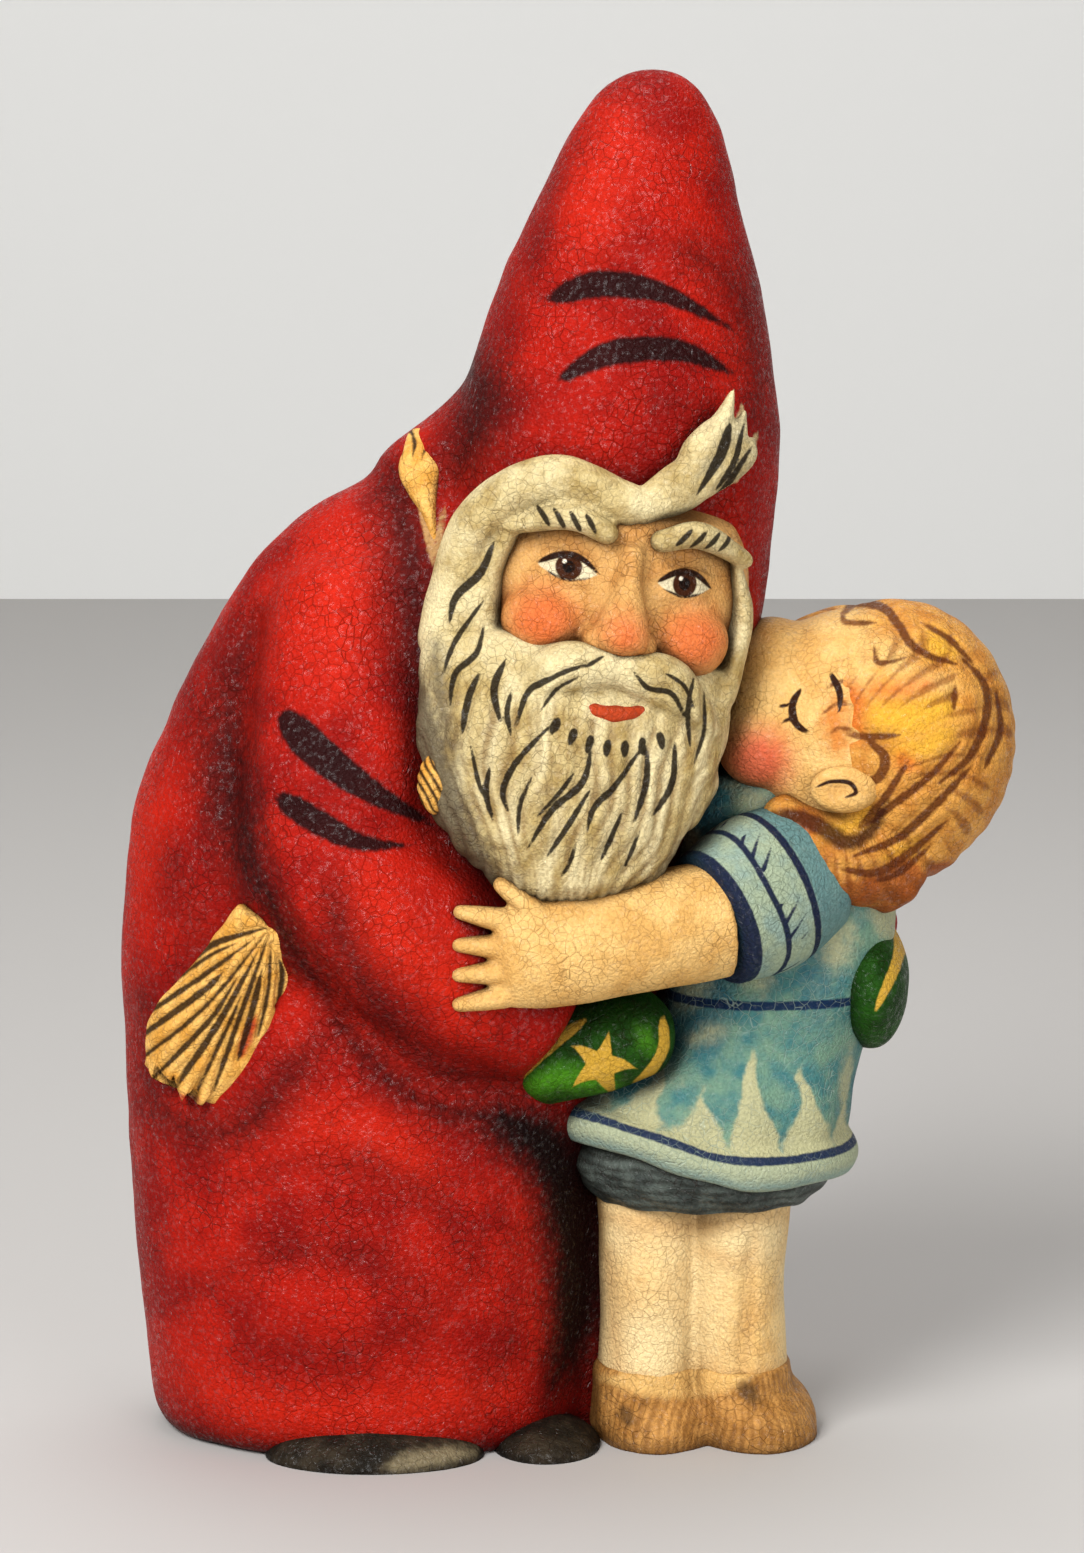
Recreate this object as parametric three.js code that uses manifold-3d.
// Father Christmas hugging a child: a moulded and painted shelf figure in glued pieces.
// Millimetres, +Z up. The figure faces -Y, with the child on its +X side.
// The origin lies on the surface that the figure stands on, under the robe.
import * as THREE from "three";
import { mergeVertices } from "three/addons/utils/BufferGeometryUtils.js";
import Module from "manifold-3d";

const wasm = await Module();
wasm.setup();

// Glue line between two pieces that meet.
const GLUE_GAP = 0.3;

// Robe: the body that carries everything else.
const ROBE_WIDTH = 56;
const ROBE_DEPTH = 40;
const ROBE_HEIGHT = 110;
const ROBE_X = -11.5;
const ROBE_Y = 0.5;

// Hood: a tall cone whose foot is sunk in the robe's collar.
const HOOD_WIDTH = 36.4;
const HOOD_DEPTH = 32;
const HOOD_HEIGHT = 57;
const HOOD_SINK = 22;
const HOOD_LEAN = 5.7;
const HOOD_FORWARD = 2.5;
const HOOD_OFFSET = 23.9;

// Head: the face egg and what grows on it. It rolls and turns towards the child.
const HEAD_SINK = 15;
const HEAD_OFFSET = 1.6;
const HEAD_ROLL = THREE.MathUtils.degToRad(9);
const HEAD_TURN = THREE.MathUtils.degToRad(7);
const FACE_WIDTH = 30;
const FACE_DEPTH = 26;
const FACE_HEIGHT = 30;
const FACE_PROUD = 4.5;
const CHEEK_WIDTH = 9.4;
const NOSE_LENGTH = 9;
const NOSE_WIDTH = 6.2;
const LIP_WIDTH = 6.6;
const BROW_LENGTH = 11;
const BROW_THICKNESS = 4;
const MOUSTACHE_LENGTH = 11;
const MOUSTACHE_THICKNESS = 5.8;
const BEARD_WIDTH = 33.5;
const BEARD_LENGTH = 25;
const BEARD_THICKNESS = 17;
const HAIR_ROLL_THICKNESS = 4.2;
const HAIR_TUFT_LENGTH = 13;
const HAIR_TUFT_WIDTH = 6;

// Fur edge of the collar.
const COLLAR_FUR_THICKNESS = 4.6;
const UPPER_FUR_LENGTH = 11;
const LOWER_FUR_LENGTH = 7;

// Arms of the larger figure and the mittens.
const SLEEVE_WIDTH = 22;
const SLEEVE_DEPTH = 17;
const SLEEVE_SINK = 2.5;
const WRIST_WIDTH = 13;
const FAR_SLEEVE_WIDTH = 16;
const MITTEN_LENGTH = 18.5;
const MITTEN_WIDTH = 11;
const MITTEN_THICKNESS = 10;
const FAR_MITTEN_WIDTH = 9;

// Boots: only the toes show under the hem of the robe.
const BOOT_LENGTH = 15;
const BOOT_WIDTH = 24;
const BOOT_HEIGHT = 4.2;

// Birch switch tucked under the near arm.
const SWITCH_LENGTH = 20;
const SWITCH_SPREAD = 14;
const SWITCH_THICKNESS = 6;
const SWITCH_NECK = 6.4;

// Child: stands on the same surface beside the robe.
const CHILD_OFFSET = 8.5;
const CHILD_Y = -4.5;
const LEG_HEIGHT = 29;
const LEG_WIDTH = 12;
const LEG_DEPTH = 17;
const LEG_SPACING = 9.6;
const BOOTIE_LENGTH = 20;
const BOOTIE_WIDTH = 14;
const BOOTIE_HEIGHT = 7;
const HEM_HEIGHT = 31;
const HEM_WIDTH = 34;
const HEM_DEPTH = 26;
const HEM_ROLL = 3.6;
const PETTICOAT_DROP = 5;
const SKIRT_HEIGHT = 19;
const WAIST_WIDTH = 24;
const WAIST_DEPTH = 19;
const BODICE_HEIGHT = 23;
const BODICE_WIDTH = 24;
const BODICE_DEPTH = 20;
const CHILD_SLEEVE_WIDTH = 17.5;
const CHILD_SLEEVE_DEPTH = 14;
const FOREARM_WIDTH = 12.8;
const FOREARM_DEPTH = 11;
const FOREARM_LENGTH = 20.5;
const PALM_WIDTH = 11;
const PALM_THICKNESS = 5.4;
const FINGER_LENGTH = 3.6;
const FINGER_WIDTH = 3;
const CHILD_HEAD_WIDTH = 28;
const CHILD_HEAD_DEPTH = 25;
const CHILD_HEAD_HEIGHT = 28.5;
const CHILD_CHEEK_WIDTH = 11;
const EAR_HEIGHT = 7.5;
const HAIR_COVER = 1.4;
const BUN_WIDTH = 13;

// Painted finishes.
const paint = (color, roughness = 0.45) =>
  new THREE.MeshStandardMaterial({ color, roughness, metalness: 0 });
const RED = paint(0xc4201c);
const FLESH = paint(0xd9a566, 0.5);
const CREAM = paint(0xc9bb8c, 0.6);
const TAN = paint(0xc99a4a, 0.55);
const GREEN = paint(0x2c5a1a);
const BLACK = paint(0x22201e);
const AUBURN = paint(0xc07a2c, 0.5);
const BLUE = paint(0x5f9ba6, 0.5);
const SAGE = paint(0x9fb79c, 0.5);
const GREY = paint(0x555a54, 0.6);
const OCHRE = paint(0xb98a45, 0.55);

const ACROSS = new THREE.Vector3(1, 0, 0);
const BACK = new THREE.Vector3(0, 1, 0);
const UP = new THREE.Vector3(0, 0, 1);

// A smooth value between knots [[at, ...values], ...], with slopes from the neighbours.
function smooth(knots, at) {
  const last = knots.length - 1;
  const t = Math.min(Math.max(at, knots[0][0]), knots[last][0]);
  let i = 0;
  while (i < last - 1 && t > knots[i + 1][0]) i += 1;
  const [a, b] = [knots[i], knots[i + 1]];
  const before = knots[Math.max(i - 1, 0)];
  const after = knots[Math.min(i + 2, last)];
  const span = b[0] - a[0];
  const s = (t - a[0]) / span;
  const s2 = s * s;
  const s3 = s2 * s;
  return a.slice(1).map((va, k) => {
    const vb = b[k + 1];
    const slopeA = ((vb - before[k + 1]) / (b[0] - before[0])) * span;
    const slopeB = ((after[k + 1] - va) / (after[0] - a[0])) * span;
    const ends = va * (2 * s3 - 3 * s2 + 1) + vb * (3 * s2 - 2 * s3);
    return ends + slopeA * (s3 - 2 * s2 + s) + slopeB * (s3 - s2);
  });
}

// A place between two others, by share.
const between = (a, b, share) => a.map((value, i) => value + (b[i] - value) * share);

// A closed skin over rings of equal count, each end closed by a fan to its middle.
function skin(rings) {
  const sides = rings[0].length;
  const points = rings.flat();
  const faces = [];
  for (let r = 0; r + 1 < rings.length; r += 1) {
    for (let s = 0; s < sides; s += 1) {
      const a = r * sides + s;
      const b = r * sides + ((s + 1) % sides);
      faces.push(a, b, b + sides, a, b + sides, a + sides);
    }
  }
  const middle = (ring) => ring.reduce((sum, p) => sum.add(p), new THREE.Vector3()).divideScalar(sides);
  const first = points.push(middle(rings[0])) - 1;
  const final = points.push(middle(rings.at(-1))) - 1;
  const start = (rings.length - 1) * sides;
  for (let s = 0; s < sides; s += 1) {
    const next = (s + 1) % sides;
    faces.push(first, next, s, final, start + s, start + next);
  }
  const geometry = new THREE.BufferGeometry().setFromPoints(points);
  geometry.setIndex(faces);
  return geometry;
}

// One oval ring: half-width along side, half-depth along deep, with flutes as a share of the radius.
function ring(middle, side, deep, halfWidth, halfDepth, { sides, flutes = 0, fluteDepth = 0 }) {
  return Array.from({ length: sides }, (_, i) => {
    const angle = (i / sides) * 2 * Math.PI;
    const swell = 1 + fluteDepth * Math.cos(flutes * angle);
    return middle
      .clone()
      .addScaledVector(side, halfWidth * swell * Math.cos(angle))
      .addScaledVector(deep, halfDepth * swell * Math.sin(angle));
  });
}

// A rounded form along a spine. Stations are [x, y, z, width, depth]. Sections stand square to the spine,
// or stay level. A dome is the rise of an end as a share of its smaller half size, and 0 is a flat end.
// Grown by a clearance, the form is the cutter that seats a neighbour.
function loft(stations, { rings = 6, sides = 14, dome = [1, 1], capRings = 2, level = false, grow = 0, ...fluting }) {
  const spine = new THREE.CatmullRomCurve3(stations.map(([x, y, z]) => new THREE.Vector3(x, y, z)));
  const girth = stations.map(([, , , w, d], i) => [i / (stations.length - 1), w / 2, d / 2]);
  const CAP_TIP = 0.2;
  const section = (t, shift, share) => {
    const tangent = level ? UP : spine.getTangent(t);
    const deep = BACK.clone().addScaledVector(tangent, -BACK.dot(tangent)).normalize();
    const side = deep.clone().cross(tangent);
    const [halfWidth, halfDepth] = smooth(girth, t).map((half) => (half + grow) * share);
    const middle = spine.getPoint(t).addScaledVector(tangent, shift);
    return ring(middle, side, deep, halfWidth, halfDepth, { sides, ...fluting });
  };
  const cap = (end) => {
    const way = end ? 1 : -1;
    if (!dome[end]) return grow ? [section(end, way * grow, 1)] : [];
    const rise = dome[end] * Math.min(...smooth(girth, end)) + grow;
    return Array.from({ length: capRings }, (_, i) => {
      const angle = (((i + 1) / capRings) * Math.PI) / 2;
      return section(end, way * rise * Math.sin(angle), Math.max(Math.cos(angle), CAP_TIP));
    });
  };
  const body = Array.from({ length: rings + 1 }, (_, i) => section(i / rings, 0, 1));
  return skin([...cap(0).reverse(), ...body, ...cap(1)]);
}

// An egg of full width, depth and height about a middle.
function egg(middle, [width, depth, height], { grow = 0, across = 14, down = 8 }) {
  return new THREE.SphereGeometry(1, across, down)
    .rotateX(Math.PI / 2)
    .scale(width / 2 + grow, depth / 2 + grow, height / 2 + grow)
    .translate(...middle);
}

// A geometry as a solid that can be joined and cut.
function solidOf(geometry) {
  const bare = geometry.clone();
  bare.deleteAttribute("normal");
  bare.deleteAttribute("uv");
  const merged = mergeVertices(bare, 1e-4);
  const vertProperties = new Float32Array(merged.attributes.position.array);
  const solid = (triVerts) =>
    new wasm.Manifold(new wasm.Mesh({ numProp: 3, vertProperties, triVerts: new Uint32Array(triVerts) }));
  const made = solid(merged.index.array);
  return made.volume() > 0 ? made : solid(merged.index.array.toReversed());
}

function geometryOf(solid) {
  const { vertProperties, triVerts } = solid.getMesh();
  const geometry = new THREE.BufferGeometry();
  geometry.setAttribute("position", new THREE.BufferAttribute(new Float32Array(vertProperties), 3));
  geometry.setIndex(new THREE.BufferAttribute(new Uint32Array(triVerts), 1));
  return geometry;
}

// Several forms joined into one piece.
function joined(...geometries) {
  return geometryOf(geometries.map(solidOf).reduce((whole, next) => whole.add(next)));
}

// Every piece, in the order that they are glued on: each is cut back from those before it.
const pieces = [];
function piece(group, name, material, form) {
  const mesh = new THREE.Mesh(form(0), material);
  mesh.name = name;
  group.add(mesh);
  pieces.push({ mesh, form });
}

// Both hands of a pair, as a name and a sign along X.
const PAIR = [
  ["right", -1],
  ["left", 1],
];

// The figure, its head and the child, placed from the robe.
const HOOD_X = ROBE_X + HOOD_OFFSET;
const HOOD_FRONT = ROBE_Y - HOOD_FORWARD - HOOD_DEPTH / 2;
const CHILD_X = ROBE_X + ROBE_WIDTH / 2 + CHILD_OFFSET;
const figure = new THREE.Group();
const head = new THREE.Group();
const child = new THREE.Group();
head.position.set(HOOD_X + HEAD_OFFSET, HOOD_FRONT - FACE_PROUD + FACE_DEPTH / 2, ROBE_HEIGHT - HEAD_SINK);
head.rotation.set(0, HEAD_ROLL, HEAD_TURN);
child.position.set(CHILD_X, CHILD_Y, 0);
figure.add(head, child);

// The robe's outline: share of height, left and right edge as shares of half the width, share of depth.
const ROBE_OUTLINE = [
  [0, -0.86, 0.8, 0.88],
  [0.02, -0.905, 0.84, 0.93],
  [0.08, -0.935, 0.86, 0.97],
  [0.27, -0.99, 0.9, 1],
  [0.41, -1.005, 1.05, 1],
  [0.5, -1.01, 1.2, 0.99],
  [0.63, -0.955, 1.36, 0.95],
  [0.73, -0.8, 1.42, 0.88],
  [0.82, -0.63, 1.44, 0.79],
  [0.88, -0.46, 1.42, 0.69],
  [0.93, -0.26, 1.33, 0.57],
  [0.97, 0.06, 1.2, 0.41],
  [1, 0.42, 1, 0.2],
];

// Middle and half sizes of the robe at a height.
function robeSection(z) {
  const [left, right, depth] = smooth(ROBE_OUTLINE, z / ROBE_HEIGHT);
  const half = ROBE_WIDTH / 2;
  return {
    x: ROBE_X + ((left + right) / 2) * half,
    halfWidth: ((right - left) / 2) * half,
    halfDepth: (depth * ROBE_DEPTH) / 2,
  };
}

// How far back the robe's skin lies at a place, seen from the front (-1) or the back (1).
function robeSkin(x, z, side = -1) {
  const at = robeSection(z);
  const off = Math.min(Math.abs(x - at.x) / at.halfWidth, 1);
  return ROBE_Y + side * at.halfDepth * Math.sqrt(1 - off * off);
}

// A place seen from the front, set on the robe and standing proud of it.
const onRobe = ([x, z], proud) => [x, robeSkin(x, z) - proud, z];

piece(figure, "robe", RED, (grow) => {
  const RINGS = 16;
  const SIDES = 28;
  const rings = Array.from({ length: RINGS + 1 }, (_, i) => {
    const z = (i / RINGS) * ROBE_HEIGHT;
    const at = robeSection(z);
    const middle = new THREE.Vector3(at.x, ROBE_Y, i === RINGS ? z + grow : z);
    return ring(middle, ACROSS, BACK, at.halfWidth + grow, at.halfDepth + grow, { sides: SIDES });
  });
  return skin(rings);
});

// Hood outline: share of height, of width and of depth.
const HOOD_OUTLINE = [
  [0, 0.98, 0.94],
  [0.2, 1, 0.97],
  [0.4, 0.98, 1],
  [0.55, 0.885, 0.93],
  [0.7, 0.755, 0.8],
  [0.85, 0.6, 0.64],
  [0.94, 0.49, 0.52],
  [1, 0.39, 0.41],
];
piece(figure, "hood", RED, (grow) =>
  loft(
    HOOD_OUTLINE.map(([share, width, depth]) => [
      HOOD_X + HOOD_LEAN * share,
      ROBE_Y - HOOD_FORWARD * (1 - share),
      ROBE_HEIGHT - HOOD_SINK + HOOD_HEIGHT * share,
      width * HOOD_WIDTH,
      depth * HOOD_DEPTH,
    ]),
    { rings: 10, sides: 24, dome: [0, 0.8], capRings: 3, level: true, grow },
  ),
);

// Near arm: shoulder, elbow and wrist as [x, z] from the front, lying on the robe.
const WAIST_HEIGHT = HEM_HEIGHT + SKIRT_HEIGHT;
const NEAR_SHOULDER = [ROBE_X - 2.5, 0.835 * ROBE_HEIGHT];
const NEAR_WRIST = [CHILD_X - 18.5, WAIST_HEIGHT - 2.5];
const NEAR_ELBOW = [ROBE_X - 3, between(NEAR_WRIST, NEAR_SHOULDER, 0.36)[1]];
piece(figure, "right_sleeve", RED, (grow) =>
  loft(
    [
      [...onRobe(NEAR_SHOULDER, -2.6 * SLEEVE_SINK), 0.8 * SLEEVE_WIDTH, SLEEVE_DEPTH],
      [...onRobe(between(NEAR_SHOULDER, NEAR_ELBOW, 0.45), -1.7 * SLEEVE_SINK), SLEEVE_WIDTH, SLEEVE_DEPTH],
      [...onRobe(NEAR_ELBOW, -SLEEVE_SINK), SLEEVE_WIDTH, SLEEVE_DEPTH],
      [...onRobe(between(NEAR_ELBOW, NEAR_WRIST, 0.55), -SLEEVE_SINK), 0.92 * SLEEVE_WIDTH, 0.95 * SLEEVE_DEPTH],
      [...onRobe(NEAR_WRIST, -0.4 * SLEEVE_SINK), WRIST_WIDTH, WRIST_WIDTH],
    ],
    { rings: 10, sides: 18, dome: [0.7, 0.3], grow },
  ),
);

// Far arm: from the back of the shoulder round the child's back to its side.
const FAR_SHOULDER = [HOOD_X - 3, ROBE_Y + 0.34 * ROBE_DEPTH, 0.8 * ROBE_HEIGHT];
const FAR_ELBOW = [CHILD_X + 8, ROBE_Y + 0.38 * ROBE_DEPTH, between([WAIST_HEIGHT], [0.8 * ROBE_HEIGHT], 0.36)[0]];
const FAR_WRIST = [CHILD_X + 17, CHILD_Y + 0.5 * BODICE_DEPTH, WAIST_HEIGHT + 3];
piece(figure, "left_sleeve", RED, (grow) =>
  loft(
    [
      [...FAR_SHOULDER, FAR_SLEEVE_WIDTH, FAR_SLEEVE_WIDTH],
      [...between(FAR_SHOULDER, FAR_ELBOW, 0.55), 1.05 * FAR_SLEEVE_WIDTH, FAR_SLEEVE_WIDTH],
      [...FAR_ELBOW, FAR_SLEEVE_WIDTH, 0.95 * FAR_SLEEVE_WIDTH],
      [...FAR_WRIST, 0.75 * FAR_SLEEVE_WIDTH, 0.7 * FAR_SLEEVE_WIDTH],
    ],
    { rings: 7, dome: [0.6, 0.4], grow },
  ),
);

// Face: an egg with cheeks, a nose and a lower lip.
const FACE_FRONT = -FACE_DEPTH / 2;
const CHEEK_SIZE = [CHEEK_WIDTH, 0.95 * CHEEK_WIDTH, 0.9 * CHEEK_WIDTH];
piece(head, "face", FLESH, (grow) =>
  joined(
    egg([0, 0, 0], [FACE_WIDTH, FACE_DEPTH, FACE_HEIGHT], { grow, across: 18, down: 12 }),
    ...PAIR.map(([, hand]) => egg([hand * 0.25 * FACE_WIDTH, FACE_FRONT + 4, -4], CHEEK_SIZE, { grow })),
    loft(
      [
        [0, FACE_FRONT + 1, NOSE_LENGTH / 2, 0.5 * NOSE_WIDTH, 0.6 * NOSE_WIDTH],
        [0, FACE_FRONT - 0.4, 0, 0.7 * NOSE_WIDTH, 0.75 * NOSE_WIDTH],
        [0, FACE_FRONT - 1.2, -NOSE_LENGTH / 2, NOSE_WIDTH, NOSE_WIDTH],
      ],
      { rings: 4, sides: 10, dome: [0.6, 0.6], grow },
    ),
    egg([0, FACE_FRONT + 1, 3.6 - FACE_HEIGHT / 2], [LIP_WIDTH, 8, 0.55 * LIP_WIDTH], { grow, across: 10, down: 6 }),
  ),
);

for (const [side, hand] of PAIR) {
  piece(head, `${side}_brow`, CREAM, (grow) =>
    loft(
      [
        [hand * 1.8, FACE_FRONT, 0.15 * FACE_HEIGHT, 0.8 * BROW_THICKNESS, BROW_THICKNESS],
        [hand * (1.8 + 0.45 * BROW_LENGTH), FACE_FRONT + 1, 0.22 * FACE_HEIGHT, BROW_THICKNESS, BROW_THICKNESS],
        [hand * (1.8 + BROW_LENGTH), FACE_FRONT + 5, 0.18 * FACE_HEIGHT, 0.6 * BROW_THICKNESS, BROW_THICKNESS],
      ],
      { rings: 5, sides: 10, grow },
    ),
  );
}

// Beard and moustache.
const BEARD_TOP = 7 - FACE_HEIGHT / 2;
const BEARD_TIP = BEARD_TOP - BEARD_LENGTH;
const beardAt = (share) => BEARD_TOP - share * BEARD_LENGTH;
piece(head, "beard", CREAM, (grow) =>
  loft(
    [
      [-2.6, FACE_FRONT + 7, beardAt(0), BEARD_WIDTH, 0.85 * BEARD_THICKNESS],
      [-2.6, FACE_FRONT + 5, beardAt(0.3), BEARD_WIDTH, BEARD_THICKNESS],
      [-1.4, FACE_FRONT + 3.5, beardAt(0.62), 0.87 * BEARD_WIDTH, 0.95 * BEARD_THICKNESS],
      [0, FACE_FRONT + 2.5, beardAt(0.88), 0.56 * BEARD_WIDTH, 0.7 * BEARD_THICKNESS],
    ],
    { rings: 7, sides: 20, dome: [0.3, 0.55], flutes: 10, fluteDepth: 0.015, grow },
  ),
);
for (const [side, hand] of PAIR) {
  piece(head, `${side}_moustache`, CREAM, (grow) =>
    loft(
      [
        [hand * 1.3, FACE_FRONT - 1.4, beardAt(-0.02), 0.7 * MOUSTACHE_THICKNESS, 0.8 * MOUSTACHE_THICKNESS],
        [hand * 0.52 * MOUSTACHE_LENGTH, FACE_FRONT - 0.6, beardAt(0.02), MOUSTACHE_THICKNESS, MOUSTACHE_THICKNESS],
        [hand * MOUSTACHE_LENGTH, FACE_FRONT + 2.4, beardAt(0.18), 0.5 * MOUSTACHE_THICKNESS, MOUSTACHE_THICKNESS],
      ],
      { rings: 5, sides: 10, grow },
    ),
  );
}

// Hair under the hood's edge: a roll down one temple and a swept-up tuft over the other.
const HAIRLINE = 0.4 * FACE_HEIGHT;
const TEMPLE = 0.5 * FACE_WIDTH;
piece(head, "hair_roll", CREAM, (grow) =>
  loft(
    [
      [-1, FACE_FRONT + 2.6, HAIRLINE - 1.4, HAIR_ROLL_THICKNESS, HAIR_ROLL_THICKNESS],
      [-0.62 * TEMPLE, FACE_FRONT + 4.4, HAIRLINE, HAIR_ROLL_THICKNESS, 1.4 * HAIR_ROLL_THICKNESS],
      [-1.06 * TEMPLE, FACE_FRONT + 7.6, HAIRLINE - 7, HAIR_ROLL_THICKNESS, 1.7 * HAIR_ROLL_THICKNESS],
      [-1.16 * TEMPLE, FACE_FRONT + 8.6, BEARD_TOP, HAIR_ROLL_THICKNESS, 1.7 * HAIR_ROLL_THICKNESS],
    ],
    { rings: 8, sides: 10, grow },
  ),
);
piece(head, "hair_tuft", CREAM, (grow) =>
  loft(
    [
      [1, FACE_FRONT + 3, HAIRLINE - 2, 0.5 * HAIR_TUFT_WIDTH, 0.7 * HAIR_TUFT_WIDTH],
      [0.42 * TEMPLE, FACE_FRONT + 3.8, HAIRLINE + 1.4, HAIR_TUFT_WIDTH, HAIR_TUFT_WIDTH],
      [0.62 * TEMPLE, FACE_FRONT + 4.2, HAIRLINE + 0.45 * HAIR_TUFT_LENGTH, 0.9 * HAIR_TUFT_WIDTH, HAIR_TUFT_WIDTH],
      [0.66 * TEMPLE, FACE_FRONT + 5.2, HAIRLINE + 0.9 * HAIR_TUFT_LENGTH, 0.25 * HAIR_TUFT_WIDTH, 0.8 * HAIR_TUFT_WIDTH],
    ],
    { rings: 7, sides: 10, grow },
  ),
);

// Fur edge of the collar, at the neck and under the beard: name, place from the front, rise and length.
const COLLAR_FURS = [
  ["upper_collar_fur", [HOOD_X - 17.6, 0.955 * ROBE_HEIGHT], 0.1, UPPER_FUR_LENGTH],
  ["lower_collar_fur", [HOOD_X - 16, 0.682 * ROBE_HEIGHT], 1.3, LOWER_FUR_LENGTH],
];
for (const [name, place, rise, length] of COLLAR_FURS) {
  const size = [0.9 * COLLAR_FUR_THICKNESS, COLLAR_FUR_THICKNESS, length];
  piece(figure, name, TAN, (grow) => egg(onRobe(place, rise * COLLAR_FUR_THICKNESS), size, { grow, across: 12 }));
}

// Birch switch: a neck under the sleeve and a fan of twigs lying on the robe.
const SWITCH_TOP = [NEAR_ELBOW[0] - 7.5, NEAR_ELBOW[1] - 4];
const SWITCH_END = [SWITCH_TOP[0] - 0.47 * SWITCH_LENGTH, SWITCH_TOP[1] - 0.88 * SWITCH_LENGTH];
piece(figure, "birch_switch", TAN, (grow) =>
  loft(
    [
      [...onRobe(SWITCH_TOP, 1), SWITCH_NECK, 0.8 * SWITCH_THICKNESS],
      [...onRobe(between(SWITCH_TOP, SWITCH_END, 0.4), 0.5), 0.7 * SWITCH_SPREAD, SWITCH_THICKNESS],
      [...onRobe(between(SWITCH_TOP, SWITCH_END, 0.75), 0.2), SWITCH_SPREAD, SWITCH_THICKNESS],
      [...onRobe(SWITCH_END, 0), 0.8 * SWITCH_SPREAD, SWITCH_THICKNESS],
    ],
    { rings: 5, sides: 20, dome: [0.3, 0.5], flutes: 10, fluteDepth: 0.04, grow },
  ),
);

// Boots: half eggs, flat on the surface.
const HEM_FRONT = ROBE_Y - 0.44 * ROBE_DEPTH;
const boot = (x, width, proud) => (grow) =>
  egg([x, HEM_FRONT + 0.5 * BOOT_LENGTH - proud, 0], [width, BOOT_LENGTH, 2 * BOOT_HEIGHT], { grow, across: 18 });
piece(figure, "right_boot", BLACK, boot(ROBE_X, BOOT_WIDTH, 0.3 * BOOT_LENGTH));
piece(figure, "left_boot", BLACK, boot(ROBE_X + 0.78 * BOOT_WIDTH, 0.5 * BOOT_WIDTH, 0.06 * BOOT_LENGTH));

// Child's booties and legs, about the middle of the legs.
const LEGS_X = -1.5;
for (const [side, hand] of PAIR) {
  const x = LEGS_X + 1.5 + (hand * (LEG_SPACING + 1.4)) / 2;
  const size = [BOOTIE_WIDTH, BOOTIE_LENGTH, 1.8 * BOOTIE_HEIGHT];
  piece(child, `child_${side}_bootie`, OCHRE, (grow) => egg([x, 0, 0.1 * BOOTIE_HEIGHT], size, { grow, across: 16 }));
}
for (const [side, hand] of PAIR) {
  const x = LEGS_X + (hand * LEG_SPACING) / 2;
  piece(child, `child_${side}_leg`, FLESH, (grow) =>
    loft(
      [
        [x + hand * 0.4, 0, 0.7 * BOOTIE_HEIGHT, 0.95 * LEG_WIDTH, 0.85 * LEG_DEPTH],
        [x - hand * 0.2, 0, 0.5 * LEG_HEIGHT, 0.94 * LEG_WIDTH, 0.9 * LEG_DEPTH],
        [x, 0, LEG_HEIGHT, 1.04 * LEG_WIDTH, LEG_DEPTH],
      ],
      { rings: 4, dome: [0, 0], level: true, grow },
    ),
  );
}

// Skirt: flares from the waist to a rolled hem, over a petticoat.
const WAIST_X = 7.5;
const HEM_X = -0.4;
const HEM_Y = -1.5;
piece(child, "child_petticoat", GREY, (grow) =>
  loft(
    [
      [HEM_X, HEM_Y, HEM_HEIGHT - PETTICOAT_DROP, 0.74 * HEM_WIDTH, 0.78 * HEM_DEPTH],
      [HEM_X, HEM_Y, HEM_HEIGHT + 0.2 * HEM_ROLL, 0.86 * HEM_WIDTH, 0.86 * HEM_DEPTH],
    ],
    { rings: 2, sides: 20, dome: [0, 0], level: true, grow },
  ),
);
piece(child, "child_skirt", BLUE, (grow) =>
  loft(
    [
      [HEM_X, HEM_Y, HEM_HEIGHT + 0.5 * HEM_ROLL, HEM_WIDTH - HEM_ROLL, HEM_DEPTH - HEM_ROLL],
      [between([HEM_X], [WAIST_X], 0.3)[0], HEM_Y, HEM_HEIGHT + 0.36 * SKIRT_HEIGHT, 0.8 * HEM_WIDTH, 0.84 * HEM_DEPTH],
      [between([HEM_X], [WAIST_X], 0.7)[0], 0, HEM_HEIGHT + 0.68 * SKIRT_HEIGHT, 0.71 * HEM_WIDTH, 0.76 * HEM_DEPTH],
      [WAIST_X, 0, WAIST_HEIGHT, WAIST_WIDTH, WAIST_DEPTH],
    ],
    { rings: 6, sides: 22, dome: [0, 0], level: true, grow },
  ),
);
piece(child, "child_hem", SAGE, (grow) =>
  loft(
    [
      [HEM_X, HEM_Y, HEM_HEIGHT - 0.3 * HEM_ROLL, HEM_WIDTH - 0.5 * HEM_ROLL, HEM_DEPTH - 0.5 * HEM_ROLL],
      [HEM_X, HEM_Y, HEM_HEIGHT + 0.3 * HEM_ROLL, HEM_WIDTH, HEM_DEPTH],
      [HEM_X, HEM_Y, HEM_HEIGHT + 0.9 * HEM_ROLL, HEM_WIDTH - 0.6 * HEM_ROLL, HEM_DEPTH - 0.6 * HEM_ROLL],
    ],
    { rings: 4, sides: 22, dome: [0, 0], level: true, grow },
  ),
);

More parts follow.
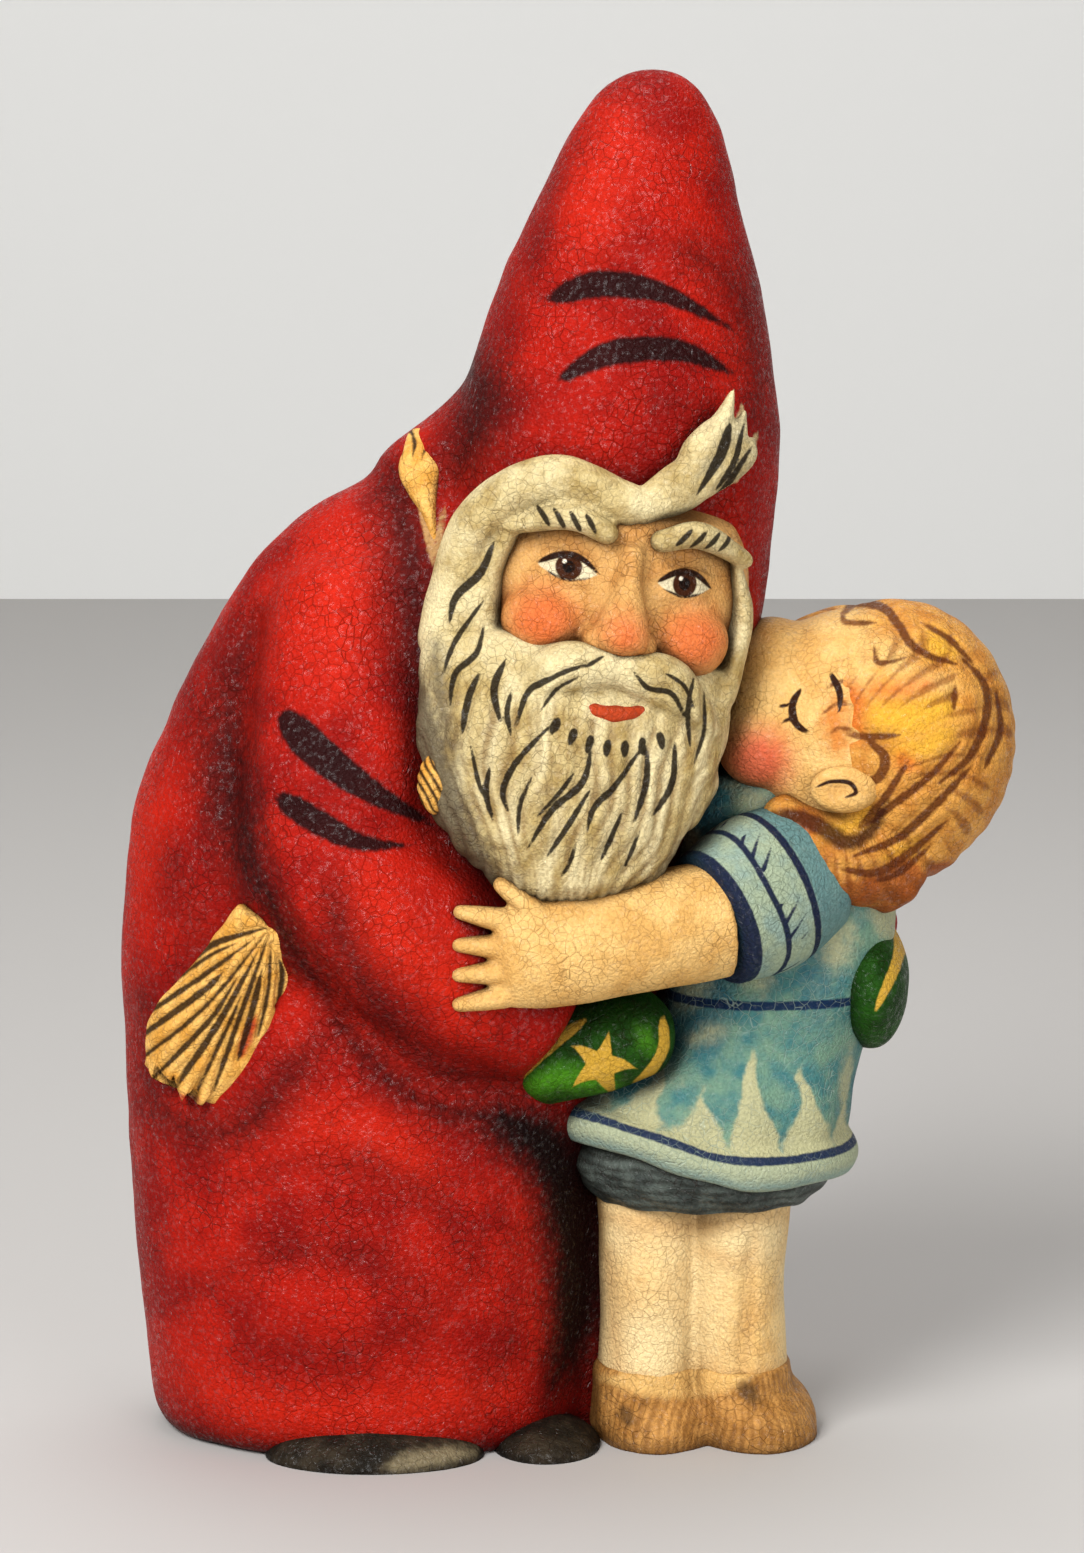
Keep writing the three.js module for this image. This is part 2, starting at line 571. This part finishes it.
// Bodice, from the waist to the neck.
const NECK_HEIGHT = WAIST_HEIGHT + BODICE_HEIGHT;
const bodiceAt = (share) => WAIST_HEIGHT + share * BODICE_HEIGHT;
piece(child, "child_bodice", BLUE, (grow) =>
  loft(
    [
      [WAIST_X, 0, bodiceAt(0), 0.98 * WAIST_WIDTH, WAIST_DEPTH],
      [WAIST_X + 0.8, 0, bodiceAt(0.35), BODICE_WIDTH, BODICE_DEPTH],
      [WAIST_X + 0.2, 0, bodiceAt(0.7), 0.98 * BODICE_WIDTH, 0.94 * BODICE_DEPTH],
      [WAIST_X - 1, 0, bodiceAt(1), 0.6 * BODICE_WIDTH, 0.64 * BODICE_DEPTH],
    ],
    { rings: 7, sides: 20, dome: [0, 0.3], level: true, grow },
  ),
);

// Child's head, laid over on the larger figure's cheek, with its hair, ear and bun.
const CHILD_HEAD = [WAIST_X + 8.5, 1.5, NECK_HEIGHT + 4.4];
const aboutHead = (x, y, z) => [CHILD_HEAD[0] + x, CHILD_HEAD[1] + y, CHILD_HEAD[2] + z];
const CHEEK_EGG = [CHILD_CHEEK_WIDTH, CHILD_CHEEK_WIDTH, CHILD_CHEEK_WIDTH];
const BROW_EGG = [0.5 * CHILD_HEAD_WIDTH, 0.72 * CHILD_HEAD_DEPTH, 0.6 * CHILD_HEAD_HEIGHT];
piece(child, "child_head", FLESH, (grow) =>
  joined(
    egg(CHILD_HEAD, [CHILD_HEAD_WIDTH, CHILD_HEAD_DEPTH, CHILD_HEAD_HEIGHT], { grow, across: 18, down: 12 }),
    egg(aboutHead(-0.36 * CHILD_HEAD_WIDTH, -0.22 * CHILD_HEAD_DEPTH, 0.5), CHEEK_EGG, { grow }),
    egg(aboutHead(-0.32 * CHILD_HEAD_WIDTH, 0, 0.17 * CHILD_HEAD_HEIGHT), BROW_EGG, { grow }),
  ),
);
const HAIR_SIZE = [
  CHILD_HEAD_WIDTH - HAIR_COVER,
  CHILD_HEAD_DEPTH + 2 * HAIR_COVER,
  CHILD_HEAD_HEIGHT + 1.4 * HAIR_COVER,
];
piece(child, "child_hair", AUBURN, (grow) => egg(aboutHead(4.2, 0, 0), HAIR_SIZE, { grow, across: 18, down: 12 }));
piece(child, "child_bun", AUBURN, (grow) =>
  loft(
    [
      [...aboutHead(-8, -0.38 * CHILD_HEAD_DEPTH, -0.2 * CHILD_HEAD_HEIGHT), 0.45 * BUN_WIDTH, 0.45 * BUN_WIDTH],
      [...aboutHead(-3, -0.36 * CHILD_HEAD_DEPTH, -0.4 * CHILD_HEAD_HEIGHT), 0.75 * BUN_WIDTH, 0.75 * BUN_WIDTH],
      [...aboutHead(3, -0.18 * CHILD_HEAD_DEPTH, -0.48 * CHILD_HEAD_HEIGHT), BUN_WIDTH, 1.15 * BUN_WIDTH],
    ],
    { rings: 6, sides: 12, dome: [0.8, 0.7], grow },
  ),
);
piece(child, "child_ear", FLESH, (grow) =>
  egg(aboutHead(-1, -0.5 * CHILD_HEAD_DEPTH - 0.4, -0.14 * CHILD_HEAD_HEIGHT), [EAR_HEIGHT, 4.6, EAR_HEIGHT], {
    grow,
    across: 12,
  }),
);

// Child's near arm: a puffed sleeve, a bare forearm and a hand with a thumb and four fingers.
const CUFF = [0, -13, NECK_HEIGHT - 13.2];
piece(child, "child_sleeve", SAGE, (grow) =>
  loft(
    [
      [...between(CUFF, [10, -6, NECK_HEIGHT - 9], 1), 0.9 * CHILD_SLEEVE_WIDTH, 0.9 * CHILD_SLEEVE_DEPTH],
      [...between(CUFF, [10, -6, NECK_HEIGHT - 9], 0.5), CHILD_SLEEVE_WIDTH, CHILD_SLEEVE_DEPTH],
      [...CUFF, 0.86 * CHILD_SLEEVE_WIDTH, 0.95 * CHILD_SLEEVE_DEPTH],
    ],
    { rings: 5, sides: 16, dome: [0.5, 0.12], grow },
  ),
);
const HAND_X = CUFF[0] - FOREARM_LENGTH;
const HAND_Z = CUFF[2] - 3.2;
const SLEEVE_FRONT = robeSkin(CHILD_X + HAND_X, HAND_Z) + SLEEVE_SINK - 0.5 * SLEEVE_DEPTH;
const PALM = [HAND_X, SLEEVE_FRONT - CHILD_Y, HAND_Z];
// Fingers fan from the palm: angle up from straight ahead, and the root's height as a share of the palm.
const FINGERS = [
  [0.3, 0.38],
  [0.1, 0.14],
  [-0.1, -0.12],
  [-0.3, -0.36],
  [1.2, 0.42],
];
function finger([angle, height], grow) {
  const reach = 0.25 * PALM_WIDTH + FINGER_LENGTH;
  const root = [PALM[0] - 0.1 * PALM_WIDTH, PALM[1] - 0.3, PALM[2] + height * PALM_WIDTH];
  const tip = [root[0] - reach * Math.cos(angle), root[1], root[2] + reach * Math.sin(angle)];
  return loft(
    [
      [...root, FINGER_WIDTH, 1.3 * FINGER_WIDTH],
      [...tip, 0.86 * FINGER_WIDTH, 1.2 * FINGER_WIDTH],
    ],
    { rings: 1, sides: 6, dome: [0.5, 0.8], grow },
  );
}
piece(child, "child_forearm", FLESH, (grow) =>
  joined(
    loft(
      [
        [...between(CUFF, PALM, -0.04), FOREARM_WIDTH, FOREARM_DEPTH],
        [...between(CUFF, PALM, 0.45), FOREARM_WIDTH, FOREARM_DEPTH],
        [...between(CUFF, PALM, 0.86), 0.92 * FOREARM_WIDTH, 0.7 * FOREARM_DEPTH],
        [...PALM, PALM_WIDTH, PALM_THICKNESS],
      ],
      { rings: 5, sides: 12, dome: [0, 0.5], grow },
    ),
    ...FINGERS.map((place) => finger(place, grow)),
  ),
);

// Mittens: the near one on the child's waist, the far one round its side.
const MITTEN_TILT = 0.17;
const MITTEN_MIDDLE = [...onRobe([NEAR_WRIST[0] + 5.6, NEAR_WRIST[1] - 2.2], 1.5)];
piece(figure, "right_mitten", GREEN, (grow) =>
  loft(
    [-0.5, 0, 0.5].map((share) => [
      MITTEN_MIDDLE[0] + share * 0.55 * MITTEN_LENGTH,
      MITTEN_MIDDLE[1],
      MITTEN_MIDDLE[2] + share * MITTEN_TILT * MITTEN_LENGTH,
      (share ? 0.9 : 1) * MITTEN_WIDTH,
      (share ? 0.95 : 1) * MITTEN_THICKNESS,
    ]),
    { rings: 4, dome: [0.8, 0.8], grow },
  ),
);
piece(figure, "left_mitten", GREEN, (grow) =>
  egg(
    [FAR_WRIST[0] + 0.6, FAR_WRIST[1] - 0.45 * MITTEN_LENGTH, FAR_WRIST[2] - 2.4],
    [FAR_MITTEN_WIDTH, 1.2 * MITTEN_LENGTH, 1.35 * MITTEN_WIDTH],
    { grow },
  ),
);

// Each piece is cut flat by the surface and cut back to leave a glue line to those already in place.
const floor = solidOf(new THREE.BoxGeometry(400, 400, 100).translate(0, 0, -50));
figure.updateMatrixWorld(true);
const cutters = pieces.map(({ mesh, form }) => solidOf(form(GLUE_GAP).applyMatrix4(mesh.matrixWorld)));
pieces.forEach(({ mesh, form }, index) => {
  const whole = solidOf(form(0).applyMatrix4(mesh.matrixWorld)).subtract(floor);
  const seated = cutters.slice(0, index).reduce((left, cutter) => left.subtract(cutter), whole);
  const bodies = seated.decompose();
  if (!bodies.length) throw new Error(mesh.name + " lies wholly inside its neighbours");
  const largest = bodies.reduce((best, body) => (body.volume() > best.volume() ? body : best));
  mesh.geometry = geometryOf(largest).applyMatrix4(mesh.matrixWorld.clone().invert());
});

export default figure;
